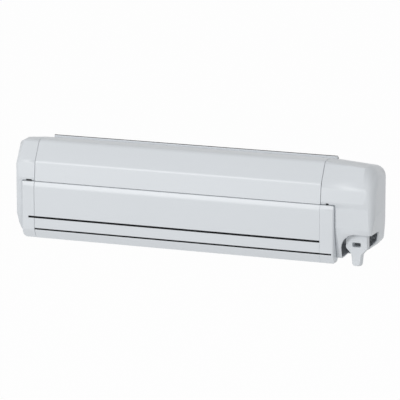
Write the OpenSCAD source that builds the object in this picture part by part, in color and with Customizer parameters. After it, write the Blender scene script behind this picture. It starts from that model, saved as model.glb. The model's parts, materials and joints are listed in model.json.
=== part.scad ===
// Roll-out awning in a wall-mounted case, closed: +X to the right, -Y to the front, +Z up.
// The origin is the middle of the case's wall face.

/* [Case] */
// Length of the extruded case between its end caps
case_len = 496; // [480:1:900]
// Distance from the wall to the front of the lead rail
depth = 90; // [90:0.5:110]
// Height of the hood's crown above the middle of the wall face
crown_z = 81.5; // [80:0.5:100]
// Height of the crease where the hood's front turns back
crease_z = 47; // [44:0.5:50]
// Height of the joint between hood and lead rail
seam_z = 14.5; // [13:0.5:16]
// How far the hood's front stands behind the lead rail's front
hood_back = 2.5; // [1:0.5:4]
// How far the case's back wall reaches below the origin
back_drop = 62; // [60:1:70]
// Wall of the case profile
wall = 2.2; // [1.6:0.1:2.8]
// Height of the top rail above the hood's rear edge
rail_h = 5.6; // [4:0.2:8]
// Width of the bottom flange that the wall bracket screws into
flange_w = 18; // [16:0.5:20]
// Radius of the wall bracket's screw holes
bracket_hole_r = 3.25; // [2.5:0.05:4]
// Distance between the wall bracket's screw holes
bracket_pitch = 300; // [200:1:340]

/* [End caps] */
// Length of the left end cap
left_cap_len = 37; // [34:0.5:50]
// Length of the right end cap
right_cap_len = 87; // [84:0.5:110]
// Wall of the end caps
cap_wall = 2.5; // [2:0.1:3]
// Depth of the caps' lower edge below the origin
cap_drop = 74; // [70:0.5:78]
// Height of the winch notch's ceiling below the origin
notch_drop = 31; // [30:0.5:34]
// Distance from the notch's rear wall to the wall face
notch_back = 42; // [38:0.5:42]
// Corner radius of the winch notch
notch_r = 26; // [16:1:28]

/* [Roller] */
// Outer radius of the roller tube
roller_r = 16; // [14:0.5:20]
// Outer radius of the wound canopy
roll_r = 28; // [26:0.5:30]
// Distance from the roller's axis to the wall
roller_y = 45; // [44:0.5:50]
// Height of the roller's axis
roller_z = 40; // [39.5:0.5:44]
// Distance from the canopy's edges to the case's ends
canopy_inset = 20; // [18:0.5:40]
// Thickness of the canopy cloth
cloth = 0.6; // [0.4:0.1:1]

/* [Arms] */
// Distance from the folded elbows' pivots to the middle of the case
elbow_gap = 25; // [22:0.5:60]
// Angle by which the arms stand open when the case is shut
fold = 3; // [2.5:0.1:3.5]
// Pitch of the arms below level
pitch = 8; // [4:0.5:10]
// Distance from the shoulder pivots to the wall
shoulder_y = 26; // [25:0.5:28]
// Height of the shoulder pivots below the origin
shoulder_drop = 16; // [15:0.5:18]
// Distance from the shoulder pivots to the case's ends
shoulder_in = 23; // [22:0.5:40]
// Width of the arm tubes
tube_w = 14; // [12:0.5:15]
// Height of the arm tubes
tube_h = 28; // [26:0.5:29]
// Wall of the arm tubes
tube_wall = 2; // [1.2:0.1:2.5]
// Radius of the arm pins
pin_r = 4; // [3:0.1:5]
// Radius of the arm knuckles
knuckle_r = 10; // [8.5:0.5:10.5]

/* [Lead rail] */
// Depth of the lead rail's lower edge below the origin
lead_drop = 80.5; // [79:0.5:84]
// Wall of the lead rail
lead_wall = 2; // [1.6:0.1:2.4]
// Length of the lead rail's end caps
lead_cap_len = 23; // [20:0.5:26]
// Height of the upper black strip below the origin
strip1_drop = 45; // [42:0.5:46]
// Height of the lower black strip below the origin
strip2_drop = 64.5; // [60:0.5:66]
// Height of the upper strip
strip1_h = 3.3; // [2:0.1:4]
// Height of the lower strip
strip2_h = 2.6; // [1.5:0.1:3]

/* [Legs] */
// Side of the square outer leg tube
leg_w = 18; // [16:0.5:19]
// Wall of the leg tubes
leg_wall = 1.5; // [1:0.1:1.8]
// Distance from the legs' middle to the wall
leg_y = 70; // [69:0.5:70]
// Height of the legs' middle below the origin
leg_drop = 62; // [61:0.5:63]
// Radius of the leg hinge pins
leg_pin_r = 3; // [2:0.1:3.5]
// Distance from the leg hinges to the rail profile's ends
leg_in = 10; // [9.5:0.5:20]
// Distance from the middle of the rail to each foot's tip
foot_gap = 8; // [6:0.5:20]

/* [Winch] */
// Radius of the winch eye's head
eye_r = 18.5; // [15:0.5:19]
// Height of the eye's head
eye_h = 25.5; // [22:0.5:28]
// Radius of the eye's stem at its tip
stem_r = 8; // [7:0.1:9]
// Depth of the stem's tip below the origin
stem_drop = 84.5; // [82:0.5:92]
// Thickness of the eye's flattened head
eye_flat = 13; // [12:0.5:16]
// Width of the crank slot
slot_w = 14; // [10:0.5:14.5]
// Height of the crank slot
slot_h = 7; // [5:0.5:8]
// Distance from the eye's axis to the case's end
eye_out = 55; // [54:0.5:60]
// Teeth of the worm wheel
wheel_teeth = 16; // [14:1:18]
// Module of the worm wheel
wheel_module = 1.5; // [1.2:0.1:1.6]
// Width of the worm wheel
wheel_w = 6; // [4:0.5:8]
// Radius of the worm at its pitch line
worm_r = 6; // [5:0.1:7]
// Radius of the worm shaft
shaft_r = 4; // [3:0.1:4]

/* [Hidden] */
$fn = 48;
// Running clearance of a pin in its eye, and the play between parts that slide or pass
run = 0.06;
play = 0.4;
seat = 0.3;
// Angle between the points of a rounded corner, small and large
small_step = 15;
large_step = 6;
// Length that reaches past everything, for cuts
far = 1200;

half = case_len / 2;
lead_half = half + lead_cap_len;
front_y = -depth;
hood_y = front_y + hood_back;
rear_fall = 9;
rear_top_z = crown_z - rear_fall;
canopy_w = case_len - 2 * canopy_inset;
arm_len = half - shoulder_in - elbow_gap;
// Open joints between the case and its caps, and between the lead rail and its left and right caps
seam_gap = 0.6;
left_lead_gap = 0.5;
right_lead_gap = 0.1;

// Outlines: each point is [y, z, corner radius]
function unit(v) = v / norm(v);
function left_of(v) = [-v[1], v[0]];
function flat(p) = [p[0], p[1]];
function wrap(a) = a > 180 ? a - 360 : (a < -180 ? a + 360 : a);
function corner(a, b, c, r) =
    r <= 0 ? [b] :
    let (
        u = unit(a - b),
        v = unit(c - b),
        half_angle = acos(max(-1, min(1, u * v))) / 2,
        centre = b + unit(u + v) * r / sin(half_angle),
        p = b + u * r / tan(half_angle) - centre,
        q = b + v * r / tan(half_angle) - centre,
        start = atan2(p[1], p[0]),
        sweep = wrap(atan2(q[1], q[0]) - start),
        steps = max(2, ceil(abs(sweep) / (r > 8 ? large_step : small_step)))
    )
    [for (i = [0 : steps]) centre + r * [cos(start + sweep * i / steps), sin(start + sweep * i / steps)]];
function rounded(path, closed = true) =
    let (n = len(path))
    [for (i = [0 : n - 1]) each
        (!closed && (i == 0 || i == n - 1)) ? [flat(path[i])] :
        corner(flat(path[(i + n - 1) % n]), flat(path[i]), flat(path[(i + 1) % n]), path[i][2])];
// The same outline moved to its left by d, its corner radii following
function moved(path, d, closed = true) =
    let (n = len(path))
    [for (i = [0 : n - 1])
        let (
            before = closed || i > 0 ? unit(flat(path[i]) - flat(path[(i + n - 1) % n])) : undef,
            after = closed || i < n - 1 ? unit(flat(path[(i + 1) % n]) - flat(path[i])) : undef,
            n1 = left_of(is_undef(before) ? after : before),
            n2 = left_of(is_undef(after) ? before : after),
            p = flat(path[i]) + (n1 + n2) * d / (1 + n1 * n2),
            turn = is_undef(before) || is_undef(after) ? 0 : sign(before[0] * after[1] - before[1] * after[0]),
            r = path[i][2] == 0 ? 0 : max(0.3, path[i][2] - turn * d)
        )
        [p[0], p[1], r]];
function reversed(list) = [for (i = [len(list) - 1 : -1 : 0]) list[i]];
function strip(path, t) = concat(rounded(path, false), reversed(rounded(moved(path, t, false), false)));

module along_x(x0, x1) { translate([x0, 0, 0]) rotate([90, 0, 90]) linear_extrude(x1 - x0) children(); }
module along_y(y0, y1) { translate([0, y1, 0]) rotate([90, 0, 0]) linear_extrude(y1 - y0) children(); }
module along_z(z0, z1) { translate([0, 0, z0]) linear_extrude(z1 - z0) children(); }
module rod_x(x0, x1, r) { translate([x0, 0, 0]) rotate([0, 90, 0]) cylinder(h = x1 - x0, r = r); }
module rod_y(y0, y1, r) { translate([0, y1, 0]) rotate([90, 0, 0]) cylinder(h = y1 - y0, r = r); }
module box(a, b) { translate(a) cube(b - a); }
module right_side() { mirror([1, 0, 0]) children(); }

white = [0.83, 0.85, 0.87];
black = [0.03, 0.03, 0.035];
alloy = [0.72, 0.73, 0.74];
steel = [0.55, 0.56, 0.58];
grey_plastic = [0.35, 0.36, 0.38];
cloth_grey = [0.62, 0.66, 0.70];

// Case outline: up the back wall, over the hood and down its front
slant = 29;
crown_y = -46;
top_front_z = crown_z - 1;
crease_y = hood_y + 3;
top_front_y = crease_y + (top_front_z - crease_z) * tan(slant);
case_path = [
    [0, -back_drop, 0], [0, rear_top_z, 3], [crown_y, crown_z, 60],
    [top_front_y, top_front_z, 9], [crease_y, crease_z, 12], [hood_y, seam_z + play, 0]
];
rail_y = -6.3;
rail_r = 2;
port_r = 3.6;
port_bore = 2;
// Screw ports of the case profile, against its inner wall
port_y = -wall - port_r + 1;
ports = [[port_y, rear_top_z - 14], [port_y, -back_drop + 12]];
// Ledges that hold the shoulder brackets against the back wall
ledge_w = 4;
ledge_t = 3;
plate_t = 4;
plate_low = -shoulder_drop - 29;
plate_high = -shoulder_drop + 29;
flange_t = 3;
bracket_hole_y = -flange_w + 8;

module case_section() {
    difference() {
        union() {
            polygon(strip(case_path, wall));
            translate([rail_y, rear_top_z + rail_h - rail_r]) circle(rail_r);
            translate([rail_y - rail_r, rear_top_z - 1]) square([2 * rail_r, rail_h - rail_r + 1]);
            translate([-flange_w, -back_drop]) square([flange_w, flange_t]);
            for (z = [plate_low - ledge_t - seat, plate_high + seat])
                translate([-wall - ledge_w, z]) square([ledge_w + 0.5, ledge_t]);
            for (p = ports) translate(p) circle(port_r);
            // lip that stiffens the hood's lower edge
            translate([hood_y + 0.5, seam_z + play]) square([5, wall]);
        }
        for (p = ports) translate(p) circle(port_bore);
    }
}
module case_profile() {
    color(white) difference() {
        along_x(-half, half) case_section();
        for (x = [-1, 1])
            translate([x * bracket_pitch / 2, bracket_hole_y, -back_drop - 1])
                cylinder(h = flange_t + 2, r = bracket_hole_r);
    }
}
// Rubber bead between the hook rail and the wall, on the case's sloping top
seal_y = rail_y + rail_r + 0.05;
seal_h = 4;
module rear_seal() {
    color(black) along_x(-half, half) difference() {
        polygon([[seal_y, rear_top_z - seal_y * top_slope + 0.1], [seal_y, rear_top_z + seal_h],
                 [0, rear_top_z + seal_h], [0, rear_top_z + 0.1]]);
        translate([0, rear_top_z + seal_h]) circle(2.5);
    }
}
// Rubber bead hanging under the hood's lip, just clear of the lead rail
module hood_seal() {
    color(black) along_x(-half, half)
        translate([hood_y + 5.7, rail_top + seat]) square([2, wall]);
}

// End caps: side, plan and front outlines cut one solid, and planes round its end off
cap_step = 3;
step_half = 4;
left_crease_r = 16;
right_crease_r = 40;
function cap_side(crease_r) = [
    [0, -cap_drop + 6, 4], [0, rear_top_z, 3], [crown_y, crown_z, 60],
    [top_front_y, top_front_z, 9], [crease_y, crease_z, crease_r], [hood_y, seam_z + step_half, 8],
    [hood_y + cap_step, seam_z - step_half, 1.5], [hood_y + cap_step + 1, -25, 60], [hood_y + 14, -cap_drop, 8]
];
cap_rear_r = 30;
// Angle at which the caps' roofs fall to their ends
roof_fall = 4.4;
crown_round = 0.2;
top_slope = (crown_z - rear_top_z) / -crown_y;
roof_front_slope = (crown_z - top_front_z) / (crown_y - top_front_y);
// Faces that run out to a cap's end: a point on the face, its tilt from upright and its fall
cap_faces = [
    [[hood_y, 0], 0, 0],
    [[crease_y, crease_z], slant, 0],
    [[crown_y, crown_z - crown_round], 90 - atan(roof_front_slope), roof_fall],
    [[crown_y, crown_z - crown_round], 90 + atan(top_slope), roof_fall]
];
soft_step = 13;
soft_block = 500;
module soft_face(face, length, r, inset) {
    tilt = face[1];
    fall = face[2];
    deep = (r + sin(fall) * (length - r)) / cos(fall);
    intersection_for(turn = [fall > 0 ? fall : soft_step : soft_step : 80])
        translate([length - r, face[0][0] + cos(tilt) * deep, face[0][1] - sin(tilt) * deep])
            rotate([-tilt, 0, 0]) rotate([0, 0, turn])
                translate([-soft_block / 2, inset - r, -soft_block / 2]) cube(soft_block);
}
module cap_plan_shape(length, inset) {
    polygon(rounded(moved([
        [-inset - 1, hood_y, 0], [length, hood_y, 0], [length, 0, cap_rear_r], [-inset - 1, 0, 0]
    ], inset)));
}
module cap_front_shape(length, low, inset) {
    polygon(rounded(moved(concat(
        [[-inset - 1, -cap_drop, 0]], low, [[length, crown_z + 1, 0], [-inset - 1, crown_z + 1, 0]]
    ), inset)));
}
module cap_solid(length, crease_r, soft_r, low, inset) {
    intersection() {
        along_x(-1 - (inset > 0 ? 2 : -1), length + 1) polygon(rounded(moved(cap_side(crease_r), inset)));
        along_z(-cap_drop - 1, crown_z + 1) cap_plan_shape(length, inset);
        along_y(front_y - 1, 1) cap_front_shape(length, low, inset);
        soft_face(cap_faces[0], length, soft_r[0], inset);
        soft_face(cap_faces[1], length, soft_r[1], inset);
        soft_face(cap_faces[2], length, soft_r[2], inset);
        soft_face(cap_faces[3], length, soft_r[3], inset);
    }
}
// Room for the lead rail's end, in a cap whose inner face is at x = 0
pocket_back = -depth + 28;
left_lead_len = lead_cap_len - 1;
pocket_play = 0.5;
left_reach = left_lead_gap + left_lead_len - seam_gap + pocket_play;
right_reach = right_lead_gap + lead_cap_len - seam_gap + pocket_play;
shelf_more = 1;
module lead_pocket(reach, grow) {
    shelf = grow > 0 ? shelf_more : 0;
    box([-far, -far, -far], [reach + grow, pocket_back + grow, seam_z + play + grow + shelf]);
}
// Winch notch: a rounded mouth in the cap's front, open to the hollow behind it up to a shelf for the bush
notch_x = lead_cap_len + 8.5;
recess_rise = 4;
notch_top = -notch_drop + recess_rise;
module winch_notch() {
    along_y(-far, -notch_back)
        polygon(rounded([
            [notch_x, -far, 0], [far, -far, 0], [far, -notch_drop, 0], [notch_x, -notch_drop, notch_r]
        ]));
}
module bush_shelf() { box([-far, -far, notch_top], [far, -notch_back + cap_wall, notch_top + cap_wall]); }
// Bosses that carry the cap screws to the case's screw ports
module cap_bosses(length) {
    for (p = ports) translate([0, p[0], p[1]]) rod_x(end_plate_t + seat, length - 1, port_r);
}
module cap_bores(length) {
    for (p = ports) translate([0, p[0], p[1]]) {
        rod_x(-1, length + 1, port_bore);
        rod_x(length - screw_sink - 1, length + 1, screw_head_r + play);
    }
}
screw_head_r = 3.6;
// The rear corner's rounding leaves this much less cap at the ports
screw_sink = 16;
// Radii that round each cap's end off: on its front, its slant and the two falls of its roof
left_soft_r = [13, 13, 13, 13];
right_soft_r = [20, 22, 24, 26];
// Largest rounding between two faces that leaves a point free at these depths under them
function round_room(a, b) = a + b + sqrt(2 * a * b);
// Depth of a point under one of the cap's faces, at a distance along the cap
function under(face, p, x) =
    ((p[0] - face[0][0]) * cos(face[1]) - (p[1] - face[0][1]) * sin(face[1])) * cos(face[2]) - x * sin(face[2]);
// The right cap's radii, limited where the gearbox's screws would meet its wall
function right_round(i) =
    let (
        gear_end = eye_out - seam_gap + box_out + cover_t + box_head_h,
        spare = cap_wall + play,
        end_room = max(0, right_cap_len - gear_end - spare),
        face_room = min([for (p = box_screws) under(cap_faces[i], p, gear_end)]) - box_head_r - spare
    )
    min(right_soft_r[i], cap_wall + round_room(end_room, max(0, face_room)));
left_low = [
    [left_cap_len - 9, -cap_drop, 6], [left_cap_len - 3.5, -cap_drop + 14, 18], [left_cap_len, -cap_drop + 39, 40]
];
right_low = [
    [right_cap_len - 47, -cap_drop, 15], [right_cap_len - 21, -cap_drop + 12, 20],
    [right_cap_len - 6.5, -cap_drop + 26, 14], [right_cap_len, -cap_drop + 74, 60]
];
module left_cap_solid(inset) { cap_solid(left_cap_len, left_crease_r, left_soft_r, left_low, inset); }
module right_cap_solid(inset) {
    cap_solid(right_cap_len, right_crease_r, [for (i = [0 : 3]) right_round(i)], right_low, inset);
}
// Slots in the hood line of the caps for the rubber stops that the lead rail shuts against: [start, end]
left_stop = [5, 15.5];
right_stop = [8.5, 13];
stop_h = 2.3;
stop_deep = 4;
stop_in = 1.6;
module stop_slot(stop) {
    box([stop[0], hood_y - 1, seam_z - 1], [stop[1], hood_y + stop_deep, seam_z + play + stop_h]);
}
module stop_block(stop) {
    box([stop[0] + 0.1, hood_y + stop_in, rail_top + seat],
        [stop[1] - 0.1, hood_y + stop_deep - 0.1, seam_z + play + stop_h - 0.1]);
}
module rail_stops() {
    color(black) {
        translate([half + seam_gap, 0, 0]) stop_block(right_stop);
        translate([-half - seam_gap, 0, 0]) right_side() stop_block(left_stop);
    }
}
module left_end_cap() {
    color(white) translate([-half - seam_gap, 0, 0]) right_side() difference() {
        union() {
            difference() {
                left_cap_solid(0);
                difference() {
                    left_cap_solid(cap_wall);
                    lead_pocket(left_reach, cap_wall);
                }
            }
            intersection() {
                left_cap_solid(0);
                cap_bosses(left_cap_len);
            }
        }
        lead_pocket(left_reach, 0);
        stop_slot(left_stop);
        cap_bores(left_cap_len);
    }
}
eye_x = half + eye_out;
eye_y = -roller_y - wheel_teeth * wheel_module / 2 - worm_r;
bush_r = shaft_r + 3;
module right_end_cap() {
    color(white) translate([half + seam_gap, 0, 0]) difference() {
        union() {
            difference() {
                right_cap_solid(0);
                difference() {
                    right_cap_solid(cap_wall);
                    lead_pocket(right_reach, cap_wall);
                    bush_shelf();
                }
            }
            intersection() {
                right_cap_solid(0);
                cap_bosses(right_cap_len);
            }
        }
        lead_pocket(right_reach, 0);
        winch_notch();
        stop_slot(right_stop);
        cap_bores(right_cap_len);
        translate([eye_out - seam_gap, eye_y, notch_top - 1]) cylinder(h = cap_wall + 2, r = bush_r);
    }
}
// Each screw: a pan head in its sink, its shank in the boss and the profile's port
module cap_screw(length) {
    rod_x(-12, length - screw_sink - 0.9, port_bore - 0.1);
    rod_x(length - screw_sink - 1, length - screw_sink + 1.5, screw_head_r);
}
module cap_screws() {
    color(steel) {
        for (p = ports) translate([half + seam_gap, p[0], p[1]]) cap_screw(right_cap_len);
        for (p = ports) translate([-half - seam_gap, p[0], p[1]]) right_side() cap_screw(left_cap_len);
    }
}

// End plates close the case inside its caps and carry the roller
end_plate_t = 3;
roller_wall = 1.5;
roller_pin_r = 5;
bearing_r = 9;
drive_r = 6;
roller_end = half - 8;
module at_roller() { translate([0, -roller_y, roller_z]) children(); }
module end_plate_shape(hole_r) {
    difference() {
        intersection() {
            polygon(rounded(moved(cap_side(right_crease_r), cap_wall + play)));
            translate([-far, seam_z + play + cap_wall + 1]) square([far, far]);
        }
        translate([-roller_y, roller_z]) circle(hole_r);
        for (p = ports) translate(p) circle(port_bore + play);
    }
}
module left_end_plate() { color(alloy) along_x(-half - end_plate_t, -half) end_plate_shape(bearing_r); }
module right_end_plate() { color(alloy) along_x(half, half + end_plate_t) end_plate_shape(drive_r + 1.5); }
module roller_bearing() {
    color(grey_plastic) at_roller() difference() {
        union() {
            rod_x(-half - end_plate_t - 2, -half, bearing_r);
            rod_x(-half, -half + 2, bearing_r + 3);
        }
        rod_x(-half - far, -half + far, roller_pin_r + run);
    }
}
module roller_tube() {
    color(alloy) at_roller() difference() {
        rod_x(-roller_end, roller_end, roller_r);
        rod_x(-roller_end - 1, roller_end + 1, roller_r - roller_wall);
        // keder groove that holds the canopy's inner edge
        translate([-far, -1, roller_r - roller_wall - 1]) cube([2 * far, 2, 5]);
    }
}
module canopy_roll() {
    color(cloth_grey) at_roller() difference() {
        rod_x(-canopy_w / 2, canopy_w / 2, roll_r);
        rod_x(-canopy_w, canopy_w, roller_r + 0.05);
    }
}
plug_spigot = 20;
plug_rim = 2;
module plug(tip, shaft) {
    rod_x(-roller_end, -roller_end + plug_spigot, roller_r - roller_wall - 0.05);
    rod_x(-roller_end - plug_rim, -roller_end, roller_r);
    rod_x(-tip, -roller_end - plug_rim / 2, shaft);
}
module left_roller_plug() { color(grey_plastic) at_roller() plug(half + end_plate_t + 3, roller_pin_r); }
module right_roller_plug() { color(grey_plastic) at_roller() right_side() plug(eye_x + box_out + 2, drive_r); }

// Gearbox: worm wheel on the roller's axis, worm on the eye's axis
wheel_r = wheel_teeth * wheel_module / 2;
tooth_tip = wheel_r + 0.8 * wheel_module;
tooth_root = wheel_r - wheel_module;
worm_root = worm_r - wheel_module;
box_wall = 3;
box_r = 6;
box_half_h = tooth_tip + 2 + box_wall;
box_front = eye_y - worm_r - 2 - box_wall;
box_rear = -roller_y + tooth_tip + 1 + box_wall;
box_out = 13;
box_in = 6;
cover_t = 2.5;
box_screw_r = 1.3;
box_screw_len = 10;
box_screw_in = 3.5;
box_head_r = 2.6;
box_head_h = 1.6;
module box_plan(inset) {
    polygon(rounded(moved([
        [box_front, roller_z + box_half_h, box_r / 2], [box_front, roller_z - box_half_h, box_r / 2],
        [box_rear, roller_z - box_half_h, box_r / 2], [box_rear, roller_z + box_half_h, box_r / 2]
    ], inset)));
}
module box_cavity() {
    polygon(rounded([
        [box_front + box_wall, roller_z + box_half_h - box_wall, box_r],
        [box_front + box_wall, roller_z - box_half_h + box_wall, box_r],
        [box_rear - box_wall, roller_z - box_half_h + box_wall, box_r],
        [box_rear - box_wall, roller_z + box_half_h - box_wall, box_r]
    ]));
}
box_screws = [
    for (y = [box_front + box_screw_in, box_rear - box_screw_in], z = [-1, 1])
        [y, roller_z + z * (box_half_h - box_screw_in)]
];
module gearbox_housing() {
    color(grey_plastic) difference() {
        along_x(half + end_plate_t, eye_x + box_out) box_plan(0);
        along_x(eye_x - box_in, eye_x + box_out + 1) box_cavity();
        at_roller() rod_x(0, far, drive_r + run);
        translate([eye_x, eye_y, roller_z - far / 2]) cylinder(h = far, r = shaft_r + run);
        for (p = box_screws) translate([0, p[0], p[1]]) rod_x(eye_x, eye_x + far, box_screw_r);
    }
}
module gearbox_cover() {
    color(grey_plastic) difference() {
        along_x(eye_x + box_out, eye_x + box_out + cover_t) box_plan(0);
        at_roller() rod_x(0, far, drive_r + run);
        for (p = box_screws) translate([0, p[0], p[1]]) rod_x(eye_x, eye_x + far, box_screw_r + play);
    }
}
module gearbox_screws() {
    color(steel) for (p = box_screws) translate([eye_x + box_out, p[0], p[1]]) {
        rod_x(-box_screw_len, cover_t, box_screw_r - 0.05);
        rod_x(cover_t, cover_t + box_head_h, box_head_r);
    }
}
module worm_wheel() {
    tooth_turn = 360 / wheel_teeth;
    color("gold") at_roller() along_x(eye_x - wheel_w / 2, eye_x + wheel_w / 2) difference() {
        union() {
            circle(tooth_root);
            for (i = [0 : wheel_teeth - 1]) rotate(i * tooth_turn)
                polygon([[tooth_root - 0.5, -1.3 * wheel_module], [tooth_tip, -0.5 * wheel_module],
                         [tooth_tip, 0.5 * wheel_module], [tooth_root - 0.5, 1.3 * wheel_module]]);
        }
        circle(drive_r + 0.02);
    }
}
// The head hangs below the shelf, behind the mouth's upper edge
eye_top = notch_top - 2.6;
head_low = eye_top - eye_h;
socket = 10;
module worm_shaft() {
    color(steel) translate([eye_x, eye_y, 0]) {
        along_z(eye_top - socket + 0.5, roller_z + box_half_h - 1) circle(shaft_r);
        along_z(roller_z - tooth_tip + 1, roller_z + tooth_tip - 1) circle(worm_root);
    }
}
module winch_eye() {
    outline = [[0, eye_top, 0], [eye_r - 4, eye_top, 2], [eye_r, eye_top - 5, 4], [eye_r, head_low, 4],
               [stem_r + 2, head_low - 10, 5], [stem_r, -stem_drop, 4], [0, -stem_drop, 0]];
    slot_z = head_low + slot_h / 2 + 1.6;
    color(white) translate([eye_x, eye_y, 0]) difference() {
        intersection() {
            rotate_extrude() polygon(rounded(outline));
            along_y(-eye_flat / 2, eye_flat / 2) square([2 * eye_r + 2, 2 * stem_drop + 2], center = true);
        }
        translate([0, 0, eye_top - socket]) cylinder(h = socket + 1, r = shaft_r + 0.02);
        along_y(-far, far) polygon(rounded([
            [-slot_w / 2, slot_z - slot_h / 2, 2], [slot_w / 2, slot_z - slot_h / 2, 2],
            [slot_w / 2, slot_z + slot_h / 2, 2], [-slot_w / 2, slot_z + slot_h / 2, 2]]));
    }
}
module winch_bush() {
    color(grey_plastic) translate([eye_x, eye_y, 0]) difference() {
        union() {
            along_z(notch_top - 0.5, notch_top + cap_wall + 1) circle(bush_r - 0.02);
            along_z(notch_top + cap_wall, notch_top + cap_wall + 2) circle(bush_r + 2);
        }
        translate([0, 0, -far]) cylinder(h = 2 * far, r = shaft_r + run);
    }
}

// Arms: all pivots square to one plane that falls away to the front
shoulder_x = -half + shoulder_in;
ear_t = 4.6;
tongue_h = tube_h - 2 * (ear_t + play);
tube_off = tube_w / 2 + 1.5;
clear_u = knuckle_r + 4;
fit_len = clear_u + 16;
spigot = 22;
wrist_y = -2 * arm_len * sin(fold);
module in_arm_plane() { translate([0, -shoulder_y, -shoulder_drop]) rotate([pitch, 0, 0]) children(); }
module at_shoulder() { in_arm_plane() translate([shoulder_x, 0, 0]) children(); }
module at_upper_arm() { at_shoulder() rotate([0, 0, -fold]) children(); }
module at_forearm() {
    at_shoulder() translate([arm_len * cos(fold), -arm_len * sin(fold), 0]) rotate([0, 0, 180 + fold]) children();
}
module at_wrist() { at_shoulder() translate([0, wrist_y, 0]) children(); }
module far_end() { translate([arm_len, 0, 0]) mirror([1, 0, 0]) children(); }
module tube_section(inset) {
    r = 4;
    y = tube_w / 2 - inset;
    z = tube_h / 2 - inset;
    translate([tube_off, 0])
        polygon(rounded([[-y, -z, r - inset], [y, -z, r - inset], [y, z, r - inset], [-y, z, r - inset]]));
}
module knuckle_plan() {
    circle(knuckle_r);
    translate([0, tube_off - tube_w / 2]) square([fit_len, tube_w]);
}
module fit_block() {
    along_x(clear_u, fit_len) tube_section(0);
    along_x(fit_len - 1, fit_len + spigot) tube_section(tube_wall + 0.1);
}
module pivot_bore(r) { translate([0, 0, -tube_h]) cylinder(h = 2 * tube_h, r = r); }
module tongue() {
    color(alloy) difference() {
        union() {
            along_z(-tongue_h / 2, tongue_h / 2) knuckle_plan();
            fit_block();
        }
        pivot_bore(pin_r + run);
    }
}
module fork() {
    color(alloy) difference() {
        union() {
            along_z(-tube_h / 2, -tube_h / 2 + ear_t) knuckle_plan();
            along_z(tube_h / 2 - ear_t, tube_h / 2) knuckle_plan();
            fit_block();
        }
        pivot_bore(pin_r + 0.02);
    }
}
module arm_tube() {
    color(white) along_x(fit_len, arm_len - fit_len) difference() {
        tube_section(0);
        tube_section(tube_wall);
    }
}
module arm_pin(half_h) {
    color(steel) {
        along_z(-half_h, half_h) circle(pin_r);
        along_z(half_h, half_h + 1.5) circle(pin_r + 2);
        along_z(-half_h - 1.5, -half_h) circle(pin_r + 2);
    }
}
module left_upper_arm_tube() { at_upper_arm() arm_tube(); }
module left_shoulder_knuckle() { at_upper_arm() tongue(); }
module left_elbow_fork() { at_upper_arm() far_end() fork(); }
module left_elbow_pin() { at_upper_arm() translate([arm_len, 0, 0]) arm_pin(tube_h / 2); }
module left_forearm_tube() { at_forearm() arm_tube(); }
module left_elbow_tongue() { at_forearm() tongue(); }
module left_wrist_knuckle() { at_forearm() far_end() tongue(); }
module right_upper_arm_tube() { right_side() left_upper_arm_tube(); }
module right_shoulder_knuckle() { right_side() left_shoulder_knuckle(); }
module right_elbow_fork() { right_side() left_elbow_fork(); }
module right_elbow_pin() { right_side() left_elbow_pin(); }
module right_forearm_tube() { right_side() left_forearm_tube(); }
module right_elbow_tongue() { right_side() left_elbow_tongue(); }
module right_wrist_knuckle() { right_side() left_wrist_knuckle(); }

// Shoulder brackets: a plate on the back wall and two ears round the knuckle
plate_half = 20;
plate_screws = [plate_low + 6, plate_high - 6];
plate_screw_r = 2.5;
module ears(reach_y) {
    for (z = [-tongue_h / 2 - play - ear_t, tongue_h / 2 + play]) along_z(z, z + ear_t) {
        circle(knuckle_r);
        translate([-knuckle_r, min(0, reach_y)]) square([2 * knuckle_r, abs(reach_y)]);
    }
}
module left_shoulder_bracket() {
    color(alloy) difference() {
        union() {
            box([shoulder_x - plate_half, -wall - plate_t, plate_low], [shoulder_x + plate_half, -wall, plate_high]);
            intersection() {
                at_shoulder() ears(shoulder_y + 4);
                box([-far, -far, -far], [far, -wall - 1, far]);
            }
        }
        at_shoulder() pivot_bore(pin_r + 0.02);
        for (z = plate_screws) translate([shoulder_x, 0, z]) rod_y(-far, far, plate_screw_r + 0.05);
    }
}
module left_shoulder_pin() { at_shoulder() arm_pin(tongue_h / 2 + play + ear_t); }
module right_shoulder_bracket() { right_side() left_shoulder_bracket(); }
module right_shoulder_pin() { right_side() left_shoulder_pin(); }
// Pan-head screws that hold the bracket plates, their shanks ending in the plate
module bracket_screws() {
    color(steel) for (s = [-1, 1], z = plate_screws) translate([s * shoulder_x, 0, z]) {
        rod_y(-wall - plate_t, -wall, plate_screw_r);
        rod_y(-wall - plate_t - 2, -wall - plate_t, plate_screw_r + 2);
    }
}

// Lead rail: front wall, top flange with the hem groove, and a web above the legs
rail_top = seam_z - play;
low_rise = 14.5;
low_lean = 7;
low_bend = -lead_drop + low_rise;
low_y = front_y + low_lean;
web_t = 2.5;
web_z = -strip1_drop - web_t / 2;
web_back = -leg_y + leg_w / 2 + 3;
groove = 1.2;
hem_r = 2.3;
hem_y = front_y + 12;
hem_z = rail_top - lead_wall - hem_r - 0.9;
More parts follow.
